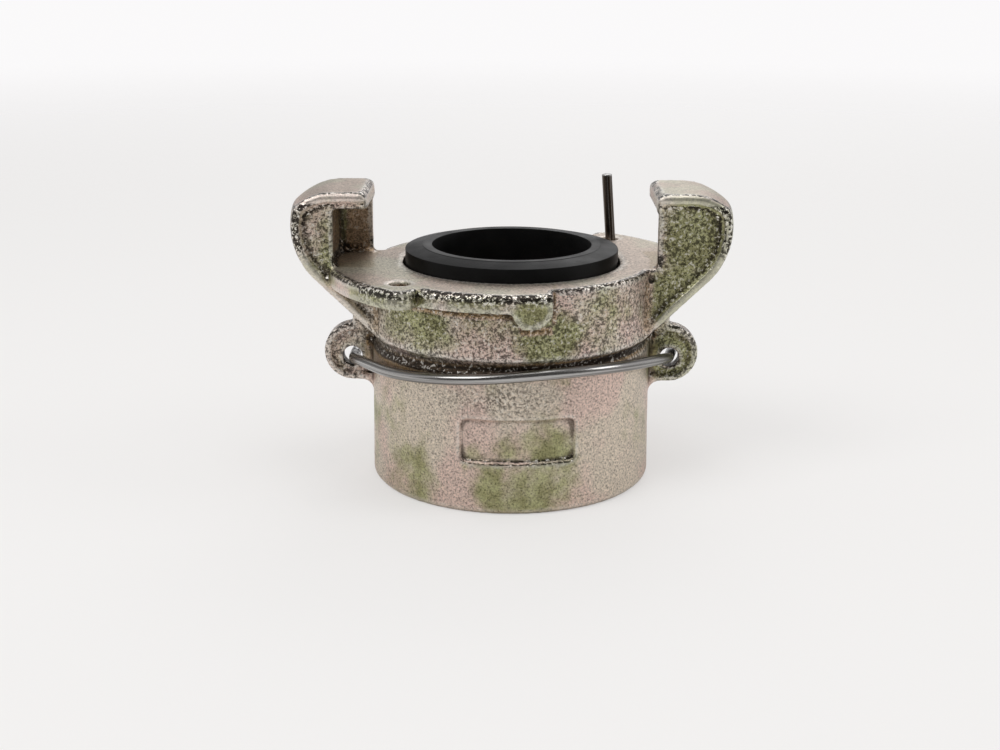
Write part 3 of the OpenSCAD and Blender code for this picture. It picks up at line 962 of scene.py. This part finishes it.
# Ambient occlusion finds the hollows, and the material paints shade there.
reach = add_node(hollow, "ShaderNodeAmbientOcclusion", samples=8)
wire(hollow, hollow_in.outputs["Reach"], reach.inputs["Distance"])
wire(hollow, between(hollow, reach.outputs["AO"], 0.88, 0.42), hollow_out.inputs["Mask"])
print("group", hollow.name)

# %% Material: colour of the plated casting
FINE_SAND_SCALE = 2300.0
COARSE_SAND_SCALE = 1300.0
HOLLOW_REACH = 0.004
EDGE_SHINE = 0.40
# Painted shade: creases, and the strongest painted brown, turn a dark brown.
CREASE_SHADE = 0.7
# A brown for the film and for the painted shade in the hollows.
SHADE_AND_FILM_BROWN = (0.42, 0.29, 0.16, 1)
DEEP_SHADE_BROWN = (0.045, 0.03, 0.02, 1)
# A tint for level faces: greyer film with painted shade.
LEVEL_TINT_SHADE = (0.71, 0.76, 0.74, 1)
# A black for sand pits and painted dark reflections, and a bright zinc for worn edges and painted
# highlights.
PIT_AND_DARK_GLINT_BLACK = (0.02, 0.016, 0.012, 1)
ZINC_WEAR_HIGHLIGHT = (0.88, 0.85, 0.79, 1)


def painted(tree, name):
    """Reads one of the numbers painted on the mesh."""
    return add_node(tree, "ShaderNodeAttribute", attribute_name=name).outputs["Fac"]


plated, tree, shader = new_material("plated_casting")
where = add_node(tree, "ShaderNodeTexCoord").outputs["Object"]
coarse = painted(tree, "coarse_sand")
bend = painted(tree, "bend")
edge_bend = between(tree, bend, 0.05, 0.24)
glint = painted(tree, "glint")

film_node = add_node(tree, "ShaderNodeGroup", node_tree=film)
wire(tree, where, film_node.inputs["Vector"])
wire(tree, painted(tree, "green_film"), film_node.inputs["Green"])
fine_sand = add_node(tree, "ShaderNodeGroup", {"Size": FINE_SAND_SCALE}, node_tree=grain)
coarse_grains = add_node(tree, "ShaderNodeGroup", {"Size": COARSE_SAND_SCALE}, node_tree=grain)
hollow_node = add_node(tree, "ShaderNodeGroup", {"Reach": HOLLOW_REACH}, node_tree=hollow)
for sand in (fine_sand, coarse_grains):
    wire(tree, where, sand.inputs["Vector"])

# The painted brown is brown film with painted shade in it.
painted_brown_shade = painted(tree, "brown_with_shade")
# Ambient occlusion adds painted shade to the painted brown.
brown = math_of(tree, "ADD", painted_brown_shade, math_of(tree, "MULTIPLY", hollow_node.outputs["Mask"], 0.5))
colour = mix_colour(tree, between(tree, brown, 0.10, 0.95), film_node.outputs["Color"], SHADE_AND_FILM_BROWN)
shade = between(tree, fine_sand.outputs["Height"], 0.32, 0.68, 0.62, 1.28, "LINEAR")
colour = mix_colour(tree, 1.0, colour, shade, "MULTIPLY")
# Level faces are painted greyer and darker: a tint with painted shade.
colour = mix_colour(tree, painted(tree, "level_tint_shade"), colour, LEVEL_TINT_SHADE, "MULTIPLY")
# Convex edges mix towards bright zinc: worn zinc with a painted highlight.
colour = mix_colour(tree, math_of(tree, "MULTIPLY", edge_bend, EDGE_SHINE), colour, ZINC_WEAR_HIGHLIGHT)
# Hollow creases are darkened towards a dark brown: painted shade.
crease = math_of(tree, "MULTIPLY", between(tree, bend, -0.06, -0.24), CREASE_SHADE)
colour = mix_colour(tree, crease, colour, DEEP_SHADE_BROWN)
# Where the painted brown is strongest, in the groove, the holes and under the lips, it turns dark brown:
# painted shade and shadow.
colour = mix_colour(tree, between(tree, painted_brown_shade, 0.8, 1.25), colour, DEEP_SHADE_BROWN)
print("material", plated.name, "has its film")

# %% [markdown]
# The coarse grains swing between black pits and bare zinc. On plain skin the swing is mild, and
# where the casting glints it is strong and leans to the dark side: there the white grains are
# painted highlights and the black ones painted dark reflections.

# %% Material: pits and glints of the plated casting
SATIN_ROUGHNESS = 0.44
GLINT_ROUGHNESS = 0.20
GLINT_SWING = 2.4

fine_pits = math_of(tree, "MULTIPLY", fine_sand.outputs["Pits"],
                    between(tree, coarse, 0.0, 1.0, 0.10, 0.85, "LINEAR"))
swing = math_of(tree, "SUBTRACT", coarse_grains.outputs["Height"],
                between(tree, glint, 0.2, 1.0, 0.5, 0.55, "LINEAR"))
swing = math_of(tree, "MULTIPLY", swing, between(tree, glint, 0.0, 1.0, 1.0, GLINT_SWING, "LINEAR"))
sand_and_glint_mask = between(tree, math_of(tree, "MAXIMUM", coarse, glint), 0.3, 0.9)
# Black grains: sand pits, and where the casting glints, painted dark reflections.
black = math_of(tree, "MULTIPLY", between(tree, swing, -0.015, -0.085), sand_and_glint_mask)
grain_depth = between(tree, glint, 0.1, 0.7, 0.72, 0.95, "LINEAR")
pits_and_dark_glints = math_of(tree, "MAXIMUM", fine_pits, math_of(tree, "MULTIPLY", black, grain_depth))
colour = mix_colour(tree, pits_and_dark_glints, colour, PIT_AND_DARK_GLINT_BLACK)
glinting = math_of(tree, "MAXIMUM", glint, math_of(tree, "MULTIPLY", sand_and_glint_mask, 0.6))
# White grains: bare zinc, and where the casting glints, painted highlights.
white = math_of(tree, "MULTIPLY", between(tree, swing, 0.07, 0.17), glinting)
colour = mix_colour(tree, white, colour, ZINC_WEAR_HIGHLIGHT)
wire(tree, colour, shader.inputs["Base Color"])
shader.inputs["Metallic"].default_value = 0.85
roughness = between(tree, glint, 0.0, 1.0, SATIN_ROUGHNESS, GLINT_ROUGHNESS, "LINEAR")
wire(tree, roughness, shader.inputs["Roughness"])
fine_bump = add_node(tree, "ShaderNodeBump", {"Strength": 0.5, "Distance": 0.00012})
wire(tree, fine_sand.outputs["Height"], fine_bump.inputs["Height"])
coarse_bump = add_node(tree, "ShaderNodeBump", {"Strength": 0.8, "Distance": 0.0003})
height = math_of(tree, "MULTIPLY", coarse_grains.outputs["Height"],
                 between(tree, math_of(tree, "MAXIMUM", coarse, glint), 0.2, 1.0, 0.12, 1.0, "LINEAR"))
wire(tree, height, coarse_bump.inputs["Height"])
wire(tree, fine_bump.outputs["Normal"], coarse_bump.inputs["Normal"])
wire(tree, coarse_bump.outputs["Normal"], shader.inputs["Normal"])
casting.data.materials.clear()
casting.data.materials.append(plated)
casting.data.polygons.foreach_set("material_index", [0] * len(casting.data.polygons))
print("material", plated.name, "is on the casting")

# %% Material: seal rubber
RUBBER_BLACK = (0.0012, 0.0012, 0.0013, 1)
RUBBER_BLOOM = (0.006, 0.006, 0.006, 1)

rubber, tree, shader = new_material("seal_rubber")
where = add_node(tree, "ShaderNodeTexCoord").outputs["Object"]
bloom = noise(tree, where, 160.0, 5.0)
wire(tree, mix_colour(tree, bloom, RUBBER_BLACK, RUBBER_BLOOM), shader.inputs["Base Color"])
wire(tree, between(tree, bloom, 0.3, 0.7, 0.34, 0.5, "LINEAR"), shader.inputs["Roughness"])
shader.inputs["Specular IOR Level"].default_value = 0.16
bump = add_node(tree, "ShaderNodeBump", {"Strength": 0.3, "Distance": 0.0001})
wire(tree, noise(tree, where, 2200.0, 2.0), bump.inputs["Height"])
wire(tree, bump.outputs["Normal"], shader.inputs["Normal"])
seal.data.materials.append(rubber)
print("material", rubber.name)

# %% [markdown]
# The spring is drawn wire: bright steel with fine lines along its length. Each point of the wire
# remembers its place on the first disc, so a noise on that place makes lines that run round every
# bend with the wire. The pin is darker than the bow, and its cut end is bright.

# %% Material: spring wire
STEEL = (0.47, 0.46, 0.45, 1)
STEEL_DARK = (0.17, 0.165, 0.16, 1)
PIN_BROWN = (0.085, 0.065, 0.05, 1)
PIN_GREY = (0.30, 0.28, 0.26, 1)

steel, tree, shader = new_material("spring_wire")
where = add_node(tree, "ShaderNodeTexCoord").outputs["Object"]
split = add_node(tree, "ShaderNodeSeparateXYZ")
wire(tree, where, split.inputs["Vector"])
lap = add_node(tree, "ShaderNodeAttribute", attribute_name="lap").outputs["Vector"]
drift = add_node(tree, "ShaderNodeVectorMath", {1: (25, 25, 25)}, operation="MULTIPLY")
wire(tree, where, drift.inputs[0])
around = add_node(tree, "ShaderNodeVectorMath", {1: (3, 3, 3)}, operation="MULTIPLY")
wire(tree, lap, around.inputs[0])
along = add_node(tree, "ShaderNodeVectorMath", operation="ADD")
wire(tree, around.outputs[0], along.inputs[0])
wire(tree, drift.outputs[0], along.inputs[1])
line = noise(tree, along.outputs[0], 1.0, 3.0)
on_pin = between(tree, split.outputs["Z"], 0.0335, 0.040)
bow_colour = mix_colour(tree, between(tree, line, 0.40, 0.62), STEEL_DARK, STEEL)
pin_colour = mix_colour(tree, between(tree, line, 0.50, 0.68), PIN_BROWN, PIN_GREY)
cut_end = between(tree, split.outputs["Z"], 0.0674, 0.0677)
pin_colour = mix_colour(tree, cut_end, pin_colour, STEEL)
wire(tree, mix_colour(tree, on_pin, bow_colour, pin_colour), shader.inputs["Base Color"])
shader.inputs["Metallic"].default_value = 1.0
wire(tree, between(tree, line, 0.35, 0.65, 0.32, 0.18, "LINEAR"), shader.inputs["Roughness"])
bump = add_node(tree, "ShaderNodeBump", {"Strength": 0.35, "Distance": 0.00005})
wire(tree, line, bump.inputs["Height"])
wire(tree, bump.outputs["Normal"], shader.inputs["Normal"])
for piece in (front_bow, back_bow):
    piece.data.materials.append(steel)
print("material", steel.name)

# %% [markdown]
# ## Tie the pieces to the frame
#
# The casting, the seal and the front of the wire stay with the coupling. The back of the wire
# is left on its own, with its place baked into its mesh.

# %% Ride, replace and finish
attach(casting, "coupling")
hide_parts("coupling_body")
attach(seal, "coupling")
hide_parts("seal_ring")
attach(front_bow, "coupling")
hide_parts("safety_spring")
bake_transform(back_bow)
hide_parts("safety_spring")
